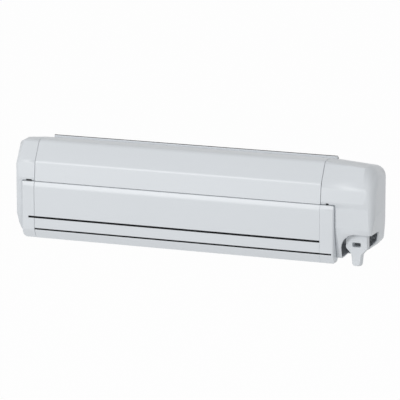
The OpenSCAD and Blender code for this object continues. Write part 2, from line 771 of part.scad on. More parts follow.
// The front wall's upper edge leans back
edge_lean = 2;
edge_h = 8;
lead_front = [
    [front_y + edge_lean, rail_top, 1.5], [front_y, rail_top - edge_h, 20], [front_y, low_bend, 18]
];
lead_path = concat([[hem_y + 4, rail_top, 0]], lead_front, [[low_y, -lead_drop, 0]]);
module strip_groove(drop, h, clear) {
    translate([front_y - 1, -drop - h / 2 + clear]) square([1 + groove + 0.3 - clear, h - 2 * clear]);
}
module lead_section() {
    difference() {
        union() {
            polygon(strip(lead_path, lead_wall));
            translate([front_y + 1, web_z]) square([web_back - front_y - 1, web_t]);
            translate([web_back - lead_wall, web_z - 5]) square([lead_wall, 5]);
            translate([hem_y, hem_z]) circle(hem_r + 1.8);
            for (drop = [strip1_drop, strip2_drop]) translate([front_y + 1, -drop - 3]) square([lead_wall, 6]);
        }
        translate([hem_y, hem_z]) circle(hem_r + 0.2);
        translate([hem_y, hem_z - 0.7]) square([10, 1.4]);
        strip_groove(strip1_drop, strip1_h, 0);
        strip_groove(strip2_drop, strip2_h, 0);
    }
}
module lead_rail_profile() { color(white) along_x(-half, half) lead_section(); }
module canopy_hem() {
    color(cloth_grey) along_x(-canopy_w / 2, canopy_w / 2) translate([hem_y, hem_z]) {
        circle(hem_r);
        translate([0, -cloth / 2]) square([hem_r + 2.4, cloth]);
    }
}
// The black strips stop a little short of the faces they lie in
strip1_over = 11;
module strip_bar(drop, h, x0, x1) {
    along_x(x0, x1) translate([front_y + 0.2, -drop - h / 2]) square([groove, h]);
}
module upper_strip() { color(black) strip_bar(strip1_drop, strip1_h, -half - strip1_over, half); }
module lower_strip() { color(black) strip_bar(strip2_drop, strip2_h, -half, lead_half - 3); }
lead_cap_back = pocket_back - 1.5;
lead_cap_side = [
    [lead_cap_back, rail_top, 3], each lead_front, [low_y, -lead_drop, 2],
    [lead_cap_back - 6, -lead_drop, 6], [lead_cap_back, -lead_drop + 12, 8]
];
module lead_cap_solid(length, low_r, inset) {
    intersection() {
        along_x(inset > 0 ? -1 : 0, length + 1) polygon(rounded(moved(lead_cap_side, inset)));
        along_z(-far, far) polygon(rounded(moved([
            [-3, front_y, 0], [length, front_y, 3], [length, lead_cap_back, 3], [-3, lead_cap_back, 0]
        ], inset)));
        along_y(-far, far) polygon(rounded(moved([
            [-3, -lead_drop, 0], [length, -lead_drop, low_r], [length, rail_top, 3], [-3, rail_top, 0]
        ], inset)));
    }
}
module lead_cap(length, low_r) {
    difference() {
        lead_cap_solid(length, low_r, 0);
        lead_cap_solid(length, low_r, lead_wall);
    }
}
module left_lead_cap() {
    color(white) difference() {
        translate([-half - left_lead_gap, 0, 0]) right_side() lead_cap(left_lead_len, 7);
        along_x(-half - strip1_over - 0.1, -half + 1) strip_groove(strip1_drop, strip1_h, 0);
    }
}
module right_lead_cap() {
    color(white) difference() {
        translate([half + right_lead_gap, 0, 0]) lead_cap(lead_cap_len, 2.5);
        along_x(half - 1, lead_half - 2.9) strip_groove(strip2_drop, strip2_h, 0);
    }
}

// Wrist brackets stand on the rail's web: a block, two ears and the pin
block_half = 15;
block_back = pocket_back - 5;
block_front = front_y + lead_wall + 4;
block_low = web_z + web_t;
block_high = -shoulder_drop + 12;
module left_wrist_bracket() {
    color(alloy) {
        difference() {
            union() {
                box([shoulder_x - block_half, block_front, block_low], [shoulder_x + block_half, block_back, block_high]);
                intersection() {
                    at_wrist() ears(-shoulder_y - 16);
                    box([-far, block_front + 2, -far], [far, far, far]);
                }
            }
            at_wrist() pivot_bore(pin_r + 0.02);
        }
        at_wrist() along_z(-tube_h / 2, tube_h / 2) circle(pin_r);
    }
}
module wrist_brackets() {
    left_wrist_bracket();
    right_side() left_wrist_bracket();
}

// Canopy between the roll's underside and the rail's hem groove
module canopy_sheet() {
    z1 = roller_z - roll_r - seat;
    y2 = hem_y + hem_r + 2.7;
    color(cloth_grey) along_x(-canopy_w / 2, canopy_w / 2) polygon([
        [-roller_y, z1], [y2, hem_z + cloth / 2], [y2, hem_z - cloth / 2], [-roller_y, z1 - cloth]
    ]);
}

// Legs: stored along the rail under its web, hinged near the rail's ends
hinge_x = -half + leg_in;
hinge_r = leg_w / 2 - 0.5;
hinge_ear_t = 3;
leg_start = hinge_x + hinge_r + 2;
foot_len = 30;
foot_pivot = -foot_gap - foot_len + 4;
inner_end = foot_pivot - 9;
outer_end = inner_end - 16;
inner_w = leg_w - 2 * leg_wall - 0.6;
inner_start = leg_start + 24;
foot_pin_r = 2;
foot_half_h = leg_w / 2;
module at_leg() { translate([0, -leg_y, -leg_drop]) children(); }
module leg_box(x0, x1, side) { box([x0, -side / 2, -side / 2], [x1, side / 2, side / 2]); }
module leg_hinge() {
    ear_y = leg_w / 2 + play;
    color(alloy) at_leg() {
        difference() {
            union() {
                for (s = [-1, 1]) {
                    y0 = s > 0 ? ear_y : -ear_y - hinge_ear_t;
                    translate([hinge_x, 0, 0]) rod_y(y0, y0 + hinge_ear_t, hinge_r);
                    box([hinge_x - hinge_r, y0, 0], [hinge_x + hinge_r, y0 + hinge_ear_t, web_z + leg_drop]);
                }
                box([hinge_x - hinge_r, -ear_y - hinge_ear_t, web_z + leg_drop - 3],
                    [hinge_x + hinge_r, ear_y, web_z + leg_drop]);
            }
            translate([hinge_x, 0, 0]) rod_y(-far, far, leg_pin_r + 0.02);
            // the rail's rear skirt passes behind the bracket's base
            box([-far, web_back + leg_y - lead_wall - seat, web_z + leg_drop - 5 - seat], [far, far, far]);
        }
        translate([hinge_x, 0, 0]) rod_y(-ear_y - hinge_ear_t, ear_y + hinge_ear_t, leg_pin_r);
    }
}
module leg_hinges() {
    leg_hinge();
    right_side() leg_hinge();
}
module left_leg_knuckle() {
    color(grey_plastic) at_leg() difference() {
        union() {
            translate([hinge_x, 0, 0]) rod_y(-leg_w / 2, leg_w / 2, hinge_r);
            box([hinge_x, -leg_w / 2, -hinge_r], [leg_start, leg_w / 2, hinge_r]);
            leg_box(leg_start - 1, leg_start + 20, leg_w - 2 * leg_wall - 0.1);
        }
        translate([hinge_x, 0, 0]) rod_y(-far, far, leg_pin_r + run);
    }
}
module left_leg_tube() {
    color(alloy) at_leg() difference() {
        leg_box(leg_start, outer_end, leg_w);
        leg_box(leg_start - 1, outer_end + 1, leg_w - 2 * leg_wall);
    }
}
collar_len = 16;
collar_t = 1.5;
module left_leg_collar() {
    color(grey_plastic) at_leg() difference() {
        union() {
            leg_box(outer_end - collar_len, outer_end + 3, leg_w + 2 * collar_t);
            // clamp lug under the collar
            box([outer_end - collar_len + 3, -4, -leg_w / 2 - collar_t - 3], [outer_end - 3, 4, -leg_w / 2 - collar_t + 0.5]);
        }
        leg_box(outer_end - collar_len - 1, outer_end, leg_w + 0.04);
        leg_box(outer_end - 1, outer_end + 4, inner_w + 0.3);
    }
}
module left_leg_inner() {
    color(alloy) at_leg() difference() {
        union() {
            leg_box(inner_start, inner_end, inner_w);
            box([inner_end - 1, -3, -5], [foot_pivot, 3, 5]);
            translate([foot_pivot, 0, 0]) rod_y(-3, 3, 5);
            translate([foot_pivot, 0, 0]) rod_y(-7, 7, foot_pin_r);
        }
        leg_box(inner_start - 1, inner_end - 4, inner_w - 2 * leg_wall);
    }
}
module left_leg_foot() {
    tip = -foot_gap;
    color(black) at_leg() difference() {
        union() {
            along_y(-7, 7) polygon(rounded([
                [foot_pivot - 5, -5, 4.9], [foot_pivot + 4, -5, 3], [tip - 4, -foot_half_h + 1, 2], [tip - 4, foot_half_h - 1, 2],
                [foot_pivot + 4, 5, 3], [foot_pivot - 5, 5, 4.9]]));
            box([tip - 5, -9, -foot_half_h], [tip, 9, foot_half_h]);
        }
        box([foot_pivot - 20, -3 - play, -20], [foot_pivot + 5 + play, 3 + play, 20]);
        translate([foot_pivot, 0, 0]) rod_y(-far, far, foot_pin_r + run);
    }
}
module right_leg_knuckle() { right_side() left_leg_knuckle(); }
module right_leg_tube() { right_side() left_leg_tube(); }
module right_leg_collar() { right_side() left_leg_collar(); }
module right_leg_inner() { right_side() left_leg_inner(); }
module right_leg_foot() { right_side() left_leg_foot(); }
clip_x = 110;
clip_half = 9;
module leg_clips() {
    top = web_z + leg_drop;
    side = leg_w / 2 + seat;
    color(grey_plastic) for (s = [-1, 1]) at_leg() translate([s * clip_x, 0, 0]) along_x(-clip_half, clip_half) {
        translate([-side - 1.4, top - 2]) square([side + 1.4 + web_back + leg_y - lead_wall - seat, 2]);
        translate([-side - 1.4, -2]) square([1.4, top + 2]);
    }
}

case_profile();
rear_seal();
hood_seal();
left_end_cap();
right_end_cap();
cap_screws();
left_end_plate();
right_end_plate();
roller_bearing();
gearbox_housing();
gearbox_cover();
gearbox_screws();
left_shoulder_bracket();
right_shoulder_bracket();
left_shoulder_pin();
right_shoulder_pin();
bracket_screws();
winch_bush();
rail_stops();
roller_tube();
canopy_roll();
left_roller_plug();
right_roller_plug();
worm_wheel();
worm_shaft();
winch_eye();
canopy_sheet();
left_upper_arm_tube();
left_shoulder_knuckle();
left_elbow_fork();
left_elbow_pin();
left_forearm_tube();
left_elbow_tongue();
left_wrist_knuckle();
right_upper_arm_tube();
right_shoulder_knuckle();
right_elbow_fork();
right_elbow_pin();
right_forearm_tube();
right_elbow_tongue();
right_wrist_knuckle();
lead_rail_profile();
left_lead_cap();
right_lead_cap();
upper_strip();
lower_strip();
canopy_hem();
wrist_brackets();
leg_hinges();
leg_clips();
left_leg_knuckle();
left_leg_tube();
left_leg_collar();
left_leg_inner();
left_leg_foot();
right_leg_knuckle();
right_leg_tube();
right_leg_collar();
right_leg_inner();
right_leg_foot();
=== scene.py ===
"""Looks of a wall-mounted cassette awning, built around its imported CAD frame."""

import json
import math
from functools import cache

import bmesh
import bpy
from bpy.props import FloatProperty, FloatVectorProperty, IntProperty, PointerProperty
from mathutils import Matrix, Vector
from mathutils.bvhtree import BVHTree

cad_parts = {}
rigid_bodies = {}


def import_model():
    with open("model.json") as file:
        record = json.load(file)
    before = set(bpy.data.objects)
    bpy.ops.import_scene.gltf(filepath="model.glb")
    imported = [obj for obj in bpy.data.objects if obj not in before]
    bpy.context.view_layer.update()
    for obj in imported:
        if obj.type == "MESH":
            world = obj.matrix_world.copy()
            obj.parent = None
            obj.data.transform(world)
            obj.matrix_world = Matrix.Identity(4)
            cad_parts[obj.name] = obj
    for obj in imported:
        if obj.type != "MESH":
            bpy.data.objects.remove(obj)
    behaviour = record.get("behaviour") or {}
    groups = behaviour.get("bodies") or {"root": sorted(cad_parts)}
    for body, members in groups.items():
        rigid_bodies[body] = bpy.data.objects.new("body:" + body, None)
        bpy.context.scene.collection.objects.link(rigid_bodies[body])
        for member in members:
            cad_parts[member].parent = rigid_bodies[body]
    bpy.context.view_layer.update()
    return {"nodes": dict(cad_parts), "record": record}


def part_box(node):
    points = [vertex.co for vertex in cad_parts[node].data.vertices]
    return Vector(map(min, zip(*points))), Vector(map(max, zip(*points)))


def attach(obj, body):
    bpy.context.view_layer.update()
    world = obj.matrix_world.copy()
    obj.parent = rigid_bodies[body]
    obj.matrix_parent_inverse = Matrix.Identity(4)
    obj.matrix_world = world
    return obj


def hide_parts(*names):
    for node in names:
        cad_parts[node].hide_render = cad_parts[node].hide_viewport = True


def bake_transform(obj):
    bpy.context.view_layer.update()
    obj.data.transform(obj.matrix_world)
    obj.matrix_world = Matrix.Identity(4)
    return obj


bl_info = {
    "name": "Roll-out Awning Looks",
    "version": (1, 0, 0),
    "blender": (4, 5, 0),
    "location": "View3D > Sidebar > Awning",
    "description": "Dresses a cassette awning: coated case, moulded caps, canopy, arms and legs",
    "category": "Object",
}

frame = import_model()
NODES = frame["nodes"]
MM = 0.001

# Points of a CAD mesh nearer than this are one, on plain skins and on those with eased edges
MERGE = 0.002 * MM
MERGE_EASED = 0.012 * MM
# Faces that turn less than this lie in one plane
PLANE_ANGLE = math.radians(0.2)
# Edges that turn more than this are eased, and no normal is evened across them
SHARP_ANGLE = math.radians(30.0)
# An eased edge needs this many times its width of room beside it
EASE_ROOM = 2.2
# Faces across an eased edge, and how near its points are joined
EASE_STEPS = 3
EASE_WELD = 0.01 * MM
# The largest turns that are shaded smooth on skins, on repeated parts, and on cloth and the top
# rail's dark strip of painted shade
SKIN_ANGLE = math.radians(38.0)
ROW_ANGLE = math.radians(35.0)
SLAB_ANGLE = math.radians(50.0)
# Faces are evened together when the cosine between them is above this
FACING = 0.5


class Value:
    """A shader socket that takes part in Python sums."""

    def __init__(self, finish, socket):
        self.finish = finish
        self.socket = socket

    def _sum(self, operation, a, b):
        return self.finish.add("ShaderNodeMath", {"operation": operation}, {0: a, 1: b})

    def __add__(self, other):
        return self._sum("ADD", self, other)

    def __radd__(self, other):
        return self._sum("ADD", other, self)

    def __mul__(self, other):
        return self._sum("MULTIPLY", self, other)

    def __rmul__(self, other):
        return self._sum("MULTIPLY", other, self)

    def clip(self):
        """The same value held between 0 and 1."""
        return self.finish.add("ShaderNodeClamp", {}, {"Value": self})


class Finish:
    """A material whose tree ends in one Principled shader."""

    def __init__(self, name, roughness=0.5, metallic=0.0, specular=0.5, sheen=0.0):
        self.material = bpy.data.materials.new(name)
        self.material.use_nodes = True
        self.tree = self.material.node_tree
        self.shader = self.tree.nodes["Principled BSDF"]
        sockets = self.shader.inputs
        sockets["Roughness"].default_value = roughness
        sockets["Metallic"].default_value = metallic
        sockets["Specular IOR Level"].default_value = specular
        sockets["Sheen Weight"].default_value = sheen

    def put(self, socket, value):
        """Links a value to a socket, or sets it there."""
        if isinstance(value, Value):
            self.tree.links.new(value.socket, socket)
        else:
            socket.default_value = value

    def add(self, kind, settings, sockets, out=0):
        """A new node: its settings first, then the values or links of its sockets."""
        node = self.tree.nodes.new(kind)
        for key, value in settings.items():
            setattr(node, key, value)
        for key, value in sockets.items():
            self.put(node.inputs[key], value)
        return Value(self, node.outputs[out])

    def place(self, scale=(1, 1, 1)):
        """Object coordinates in metres, scaled."""
        where = self.add("ShaderNodeTexCoord", {}, {}, "Object")
        return self.add("ShaderNodeMapping", {}, {"Vector": where, "Scale": scale})

    def noise(self, scale, detail=2.0, rough=0.5, stretch=(1, 1, 1)):
        """Noise at that many cells to the metre."""
        return self.add(
            "ShaderNodeTexNoise",
            {},
            {"Vector": self.place(stretch), "Scale": scale, "Detail": detail, "Roughness": rough},
        )

    def span(self, value, low, high, to_low=0.0, to_high=1.0):
        """Maps low..high of a value to another span, held at its ends."""
        return self.add(
            "ShaderNodeMapRange",
            {"clamp": True},
            {"Value": value, "From Min": low, "From Max": high, "To Min": to_low, "To Max": to_high},
        )

    def mix(self, factor, a, b):
        """A colour between a and b, by the colour sockets of a Mix node."""
        node = self.tree.nodes.new("ShaderNodeMix")
        node.data_type = "RGBA"
        self.put(node.inputs[0], factor)
        self.put(node.inputs[6], a)
        self.put(node.inputs[7], b)
        return Value(self, node.outputs[2])

    def bump(self, height, strength, distance):
        """Sets the shader's normal from a height value."""
        normal = self.add(
            "ShaderNodeBump", {}, {"Height": height, "Strength": strength, "Distance": distance}
        )
        self.put(self.shader.inputs["Normal"], normal)

    def colour(self, value):
        self.put(self.shader.inputs["Base Color"], value)

    def roughness(self, value):
        self.put(self.shader.inputs["Roughness"], value)


def rgba(colour, factor=1.0):
    """A colour with its alpha, made lighter or darker by a factor."""
    return (colour[0] * factor, colour[1] * factor, colour[2] * factor, 1.0)


def coated_metal(name, colour):
    """Powder coat on an extrusion: fine orange peel and faint lines along its length."""
    f = Finish(name, roughness=0.36, specular=0.5)
    peel = f.noise(scale=1500.0, detail=3.0, rough=0.55)
    cloud = f.noise(scale=9.0, stretch=(0.35, 1, 1))
    lines = f.noise(scale=420.0, detail=1.0, stretch=(0.004, 1, 1))
    f.colour(f.mix(f.span(cloud, 0.1, 0.9), rgba(colour, 0.985), rgba(colour, 1.015)))
    f.roughness(f.span(lines, 0.1, 0.9, 0.34, 0.38))
    f.bump(peel * 0.9 + lines * 0.1, strength=0.05, distance=0.3 * MM)
    return f.material


def moulded(name, colour, roughness=0.42, grain=0.08, specular=0.45):
    """Moulded plastic with a fine spark-eroded grain and a little unevenness."""
    f = Finish(name, roughness=roughness, specular=specular)
    grains = f.noise(scale=2600.0, rough=0.6)
    cloud = f.noise(scale=22.0, detail=3.0)
    f.colour(f.mix(f.span(cloud, 0.1, 0.9), rgba(colour, 0.98), rgba(colour, 1.02)))
    f.roughness(f.span(cloud, 0.1, 0.9, roughness - 0.02, roughness + 0.02))
    f.bump(grains, strength=grain, distance=0.3 * MM)
    return f.material


def bare_metal(name, colour, roughness=0.34, along=(0.02, 1, 1)):
    """Drawn or brushed metal with streaks along one direction."""
    f = Finish(name, roughness=roughness, metallic=1.0)
    streak = f.noise(scale=900.0, rough=0.6, stretch=along)
    cloud = f.noise(scale=30.0)
    tone = f.span(streak * 0.6 + cloud * 0.4, 0.3, 0.7)
    f.colour(f.mix(tone, rgba(colour, 0.88), rgba(colour, 1.04)))
    f.roughness(f.span(streak, 0.3, 0.7, roughness - 0.07, roughness + 0.09))
    f.bump(streak, strength=0.06, distance=0.2 * MM)
    return f.material


def rubber(name, colour):
    """Dull rubber, a little dusty."""
    f = Finish(name, roughness=0.8, specular=0.3)
    dust = f.noise(scale=60.0, detail=4.0, rough=0.6)
    skin = f.noise(scale=1800.0)
    f.colour(f.mix(f.span(dust, 0.45, 0.75), rgba(colour), rgba(colour, 1.9)))
    f.roughness(f.span(dust, 0.3, 0.7, 0.72, 0.9))
    f.bump(skin, strength=0.12, distance=0.3 * MM)
    return f.material


def canopy_cloth(name, colour, wound, weave_scale=238.7324):
    """Coated woven polyester: warp and weft that cross, about 760 threads to the metre.

    The weave follows the cloth's own length where it is wound.
    """
    f = Finish(name, roughness=0.7, specular=0.3, sheen=0.15)
    where = f.add("ShaderNodeUVMap", {}, {}) if wound else f.place()
    wave = {"wave_type": "BANDS", "wave_profile": "SIN"}
    pitch = {"Vector": where, "Scale": weave_scale}
    across = f.add("ShaderNodeTexWave", {**wave, "bands_direction": "X"}, pitch)
    along = f.add("ShaderNodeTexWave", {**wave, "bands_direction": "Y"}, pitch)
    cloud = f.noise(scale=40.0, detail=3.0, rough=0.55)
    weave = across * along
    f.colour(f.mix((weave * 0.6 + cloud * 0.5).clip(), rgba(colour, 0.86), rgba(colour, 1.06)))
    f.roughness(f.span(cloud, 0.3, 0.7, 0.62, 0.78))
    f.bump(weave, strength=0.25, distance=0.3 * MM)
    return f.material


class AwningFinishes(bpy.types.PropertyGroup):
    """Colours of the awning's finishes."""

    coat: FloatVectorProperty(
        name="Coat",
        description="Powder coat of the case, rail and arms",
        subtype="COLOR",
        default=(0.66, 0.69, 0.72),
    )
    cap: FloatVectorProperty(
        name="Caps",
        description="Moulded caps and winch eye",
        subtype="COLOR",
        default=(0.66, 0.69, 0.72),
    )
    strip: FloatVectorProperty(
        name="Strips",
        description="Black inserts of the lead rail",
        subtype="COLOR",
        default=(0.004, 0.004, 0.005),
    )
    cloth: FloatVectorProperty(
        name="Canopy", description="Canopy cloth", subtype="COLOR", default=(0.36, 0.40, 0.44)
    )
    alloy: FloatVectorProperty(
        name="Alloy",
        description="Bare and anodised aluminium",
        subtype="COLOR",
        default=(0.52, 0.53, 0.54),
    )
    grey: FloatVectorProperty(
        name="Grey plastic",
        description="Inner mouldings and leg fittings",
        subtype="COLOR",
        default=(0.10, 0.105, 0.115),
    )
    rubber: FloatVectorProperty(
        name="Rubber",
        description="Seals, stops, edging and feet",
        subtype="COLOR",
        default=(0.012, 0.012, 0.013),
    )
    steel: FloatVectorProperty(
        name="Steel",
        description="Zinc-plated screws, pins and shaft",
        subtype="COLOR",
        default=(0.50, 0.51, 0.53),
    )
    bronze: FloatVectorProperty(
        name="Bronze", description="Worm wheel", subtype="COLOR", default=(0.55, 0.36, 0.14)
    )
    thread: FloatVectorProperty(
        name="Thread",
        description="Stitches of the canopy",
        subtype="COLOR",
        default=(0.5, 0.53, 0.56),
    )


class AwningDetails(bpy.types.PropertyGroup):
    """Sizes of the canopy, the screws, the feet and the top rail's dark strip of painted shade."""

    shade_strip: FloatProperty(
        name="Shade strip",
        description="Thickness of the strip on the top rail",
        unit="LENGTH",
        default=0.00025,
    )
    thickness: FloatProperty(
        name="Cloth", description="Thickness of the canopy", unit="LENGTH", default=0.00055
    )
    sag: FloatProperty(
        name="Sag", description="Sag of the span at rest", unit="LENGTH", default=0.0004
    )
    panel: FloatProperty(
        name="Panel",
        description="Length of the panel on the lead rail",
        unit="LENGTH",
        default=0.062,
    )
    gap: FloatProperty(
        name="Gap", description="Room between the span and the panel", unit="LENGTH", default=0.0004
    )
    stitch: FloatProperty(
        name="Stitch", description="Pitch of the hem's stitches", unit="LENGTH", default=0.0034
    )
    seam_in: FloatProperty(
        name="Seam", description="From the rail's groove to the seam", unit="LENGTH", default=0.006
    )
    rib_height: FloatProperty(
        name="Rib height", description="Height of the sole's ribs", unit="LENGTH", default=0.0007
    )
    cap_head: FloatProperty(
        name="Cap screw",
        description="Height of the cap screws' heads",
        unit="LENGTH",
        default=0.0025,
    )
    cap_shank: FloatProperty(
        name="Cap shank",
        description="Radius of the cap screws' shanks",
        unit="LENGTH",
        default=0.0018,
    )
    cap_length: FloatProperty(
        name="Cap length",
        description="Length of the cap screws' shanks",
        unit="LENGTH",
        default=0.03,
    )
    bracket_head: FloatProperty(
        name="Bracket screw",
        description="Height of the bracket screws' heads",
        unit="LENGTH",
        default=0.002,
    )
    bracket_head_radius: FloatProperty(
        name="Bracket head",
        description="Radius of the bracket screws' heads",
        unit="LENGTH",
        default=0.0045,
    )
    shade_strip_angle: FloatProperty(
        name="Edging angle",
        description="How far the strip reaches round the rail from its top",
        subtype="ANGLE",
        default=math.radians(38.0),
    )
    turns: IntProperty(name="Turns", description="Turns of cloth on the roller", default=16)
    sole_ribs: IntProperty(name="Sole ribs", description="Ribs on each foot's sole", default=6)


class AwningView(bpy.types.PropertyGroup):
    """The photograph's viewpoint and the studio's light."""

    azimuth: FloatProperty(
        name="Azimuth",
        description="Turn of the camera to the right",
        subtype="ANGLE",
        default=math.radians(22.0),
    )
    elevation: FloatProperty(
        name="Elevation",
        description="Height angle of the camera",
        subtype="ANGLE",
        default=math.radians(11.85),
    )
    lens: FloatProperty(
        name="Lens", description="Focal length in millimetres", unit="CAMERA", default=275.76
    )
    eye: FloatVectorProperty(
        name="Camera",
        description="Place of the camera",
        subtype="XYZ",
        unit="LENGTH",
        default=(1.84309, -4.54094, 1.01374),
    )
    floor_drop: FloatProperty(
        name="Floor",
        description="Height of the floor from the origin",
        unit="LENGTH",
        default=-0.56,
    )
    floor_colour: FloatVectorProperty(
        name="Floor colour", description="Pale floor", subtype="COLOR", default=(0.85, 0.85, 0.85)
    )
    key: FloatProperty(
        name="Key light", description="Power of the key lamp in watts", unit="POWER", default=55.0
    )
    key_size: FloatProperty(
        name="Key size", description="Side of the key lamp", unit="LENGTH", default=1.1
    )
    key_place: FloatVectorProperty(
        name="Key place",
        description="Place of the key lamp",
        subtype="XYZ",
        unit="LENGTH",
        default=(-1.5, -3.6, 1.1),
    )
    fill: FloatProperty(
        name="Fill light", description="Power of the fill lamp in watts", unit="POWER", default=14.0
    )
    fill_size: FloatProperty(
        name="Fill size", description="Side of the fill lamp", unit="LENGTH", default=2.0
    )
    fill_place: FloatVectorProperty(
        name="Fill place",
        description="Place of the fill lamp",
        subtype="XYZ",
        unit="LENGTH",
        default=(2.6, -2.6, 0.6),
    )
    room: FloatProperty(name="Room light", description="Strength of the even light", default=0.55)


@cache
def finishes():
    """All materials of the awning by name, made once."""
    p = bpy.context.scene.awning_finishes
    return {
        "coat": coated_metal("powder_coat_white", p.coat),
        "cap": moulded("moulded_white", p.cap, roughness=0.38, grain=0.05, specular=0.5),
        "strip": moulded("insert_black", p.strip, roughness=0.5, grain=0.04, specular=0.15),
        "rubber": rubber("rubber_black", p.rubber),
        "steel": bare_metal("zinc_steel", p.steel, roughness=0.3, along=(1, 1, 1)),
        "alloy": bare_metal("anodised_alloy", p.alloy),
        "grey": moulded("moulded_grey", p.grey, roughness=0.5, grain=0.12),
        "cloth": canopy_cloth("canopy_weave", p.cloth, wound=False),
        "wound": canopy_cloth("canopy_weave_wound", p.cloth, wound=True),
        "thread": moulded("sewing_thread", p.thread, roughness=0.6, grain=0.2),
        "bronze": bare_metal("machined_bronze", p.bronze, roughness=0.3, along=(1, 1, 1)),
    }


# Which finish each of the record's material slots takes
SLOT_FINISH = {
    "case_white": "coat",
    "cap_white": "cap",
    "black_rubber": "rubber",
    "black_strip": "strip",
    "steel": "steel",
    "alloy": "alloy",
    "grey_plastic": "grey",
    "canopy": "cloth",
    "bronze": "bronze",
}
SLOT_OF = {row["node"]: row["material_slot"] for row in frame["record"]["subparts"]}
BODIES = frame["record"]["behaviour"]["bodies"]
BODY_OF = {node: body for body, members in BODIES.items() for node in members}


def set_finish(mesh, material):
    """Makes a material the only one of a mesh."""
    mesh.materials.clear()
    mesh.materials.append(material)


def new_piece(name, mesh, body, slot, *nodes):
    """Links a finished mesh as a piece that rides on a body and stands for CAD nodes."""
    piece = bpy.data.objects.new(name, mesh)
    bpy.context.scene.collection.objects.link(piece)
    if body:
        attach(piece, body)
    if nodes:
        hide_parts(*nodes)
    return piece


def evaluated(maker):
    """The mesh that an object's modifiers make, with the object taken away."""
    bpy.context.scene.collection.objects.link(maker)
    graph = bpy.context.evaluated_depsgraph_get()
    mesh = bpy.data.meshes.new_from_object(maker.evaluated_get(graph), depsgraph=graph)
    maker.modifiers.clear()
    bpy.data.objects.remove(maker)
    return mesh


def outward(mesh):
    """Turns a closed slab's faces outward and shades it smooth."""
    work = bmesh.new()
    work.from_mesh(mesh)
    bmesh.ops.recalc_face_normals(work, faces=work.faces)
    work.to_mesh(mesh)
    work.free()
    mesh.shade_smooth()
    mesh.set_sharp_from_angle(angle=SLAB_ANGLE)


def mark_eased(work, width):
    """Marks the sharp edges that have room beside them for a bevel of a width."""
    mark = work.edges.layers.float.new("bevel_weight_edge")
    sharp = {e for e in work.edges if e.calc_face_angle(0.0) > SHARP_ANGLE}

    def tight(vert):
        """Whether an edge beside the sharp ones, or at a sharp corner, is too short."""
        ridges = [e for e in vert.link_edges if e in sharp]
        beside = [e for e in vert.link_edges if len(ridges) > 2 or e not in sharp]
        return any(e.calc_length() < EASE_ROOM * width for e in beside)

    for edge in sharp:
        if not any(tight(v) for v in edge.verts):
            edge[mark] = 1.0


def smooth_copy(node, width):
    """A merged copy of a CAD node's mesh, its sharp edges eased by a width in mm."""
    mesh = NODES[node].data.copy()
    mesh.name = node + "_skin"
    work = bmesh.new()
    work.from_mesh(mesh)
    bmesh.ops.remove_doubles(work, verts=work.verts, dist=MERGE)
    bmesh.ops.dissolve_limit(
        work, angle_limit=PLANE_ANGLE, verts=work.verts, edges=work.edges, delimit={"NORMAL"}
    )
    if width:
        bmesh.ops.remove_doubles(work, verts=work.verts, dist=MERGE_EASED)
        mark_eased(work, width * MM)
    work.to_mesh(mesh)
    work.free()
    if mesh.attributes.get("custom_normal"):
        mesh.attributes.remove(mesh.attributes["custom_normal"])
    mesh.shade_smooth()
    mesh.set_sharp_from_angle(angle=SKIN_ANGLE)
    maker = bpy.data.objects.new(node + "_skin", mesh)
    if width:
        bevel = maker.modifiers.new("ease", "BEVEL")
        bevel.width = width * MM
        bevel.segments = EASE_STEPS
        bevel.limit_method = "WEIGHT"
        bevel.use_clamp_overlap = False
        weld = maker.modifiers.new("weld", "WELD")
        weld.merge_threshold = EASE_WELD
    weigh = maker.modifiers.new("weigh", "WEIGHTED_NORMAL")
    weigh.keep_sharp = True
    skin = evaluated(maker)
    # An eased edge may stand out a little, so the skin is held in its node's box
    low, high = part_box(node)
    for vert in skin.vertices:
        vert.co = [min(max(c, a), b) for c, a, b in zip(vert.co, low, high)]
    return skin


def even_normals(mesh, reach, flat):
    """Evens the normals of rounded stretches over a reach.

    Corners on a sharp edge, or on a face larger than the flat area, keep theirs.
    """
    work = bmesh.new()
    work.from_mesh(mesh)
    tree = BVHTree.FromBMesh(work)
    normals = [Vector(corner.vector) for corner in mesh.corner_normals]
    corners = [(face, loop.vert) for face in work.faces for loop in face.loops]
    for i, (face, vert) in enumerate(corners):
        if any(f.calc_area() > flat for f in vert.link_faces):
            continue
        if any(e.calc_face_angle(0.0) > SHARP_ANGLE for e in vert.link_edges):
            continue
        total = Vector()
        for _, normal, _, gap in tree.find_nearest_range(vert.co, reach):
            if normal.dot(face.normal) > FACING:
                total += normal * (1 - gap / reach)
        normals[i] = total.normalized()
    work.free()
    mesh.normals_split_custom_set(normals)


def make_skins(skins, reach=0.0, flat=0.0):
    """One smooth skin for each named node, with the width in mm that eases its edges."""
    for node, width in skins.items():
        slot = SLOT_OF[node]
        mesh = smooth_copy(node, width)
        if reach:
            even_normals(mesh, reach, flat)
        set_finish(mesh, finishes()[SLOT_FINISH[slot]])
        new_piece(node + "_shell", mesh, BODY_OF[node], slot, node)


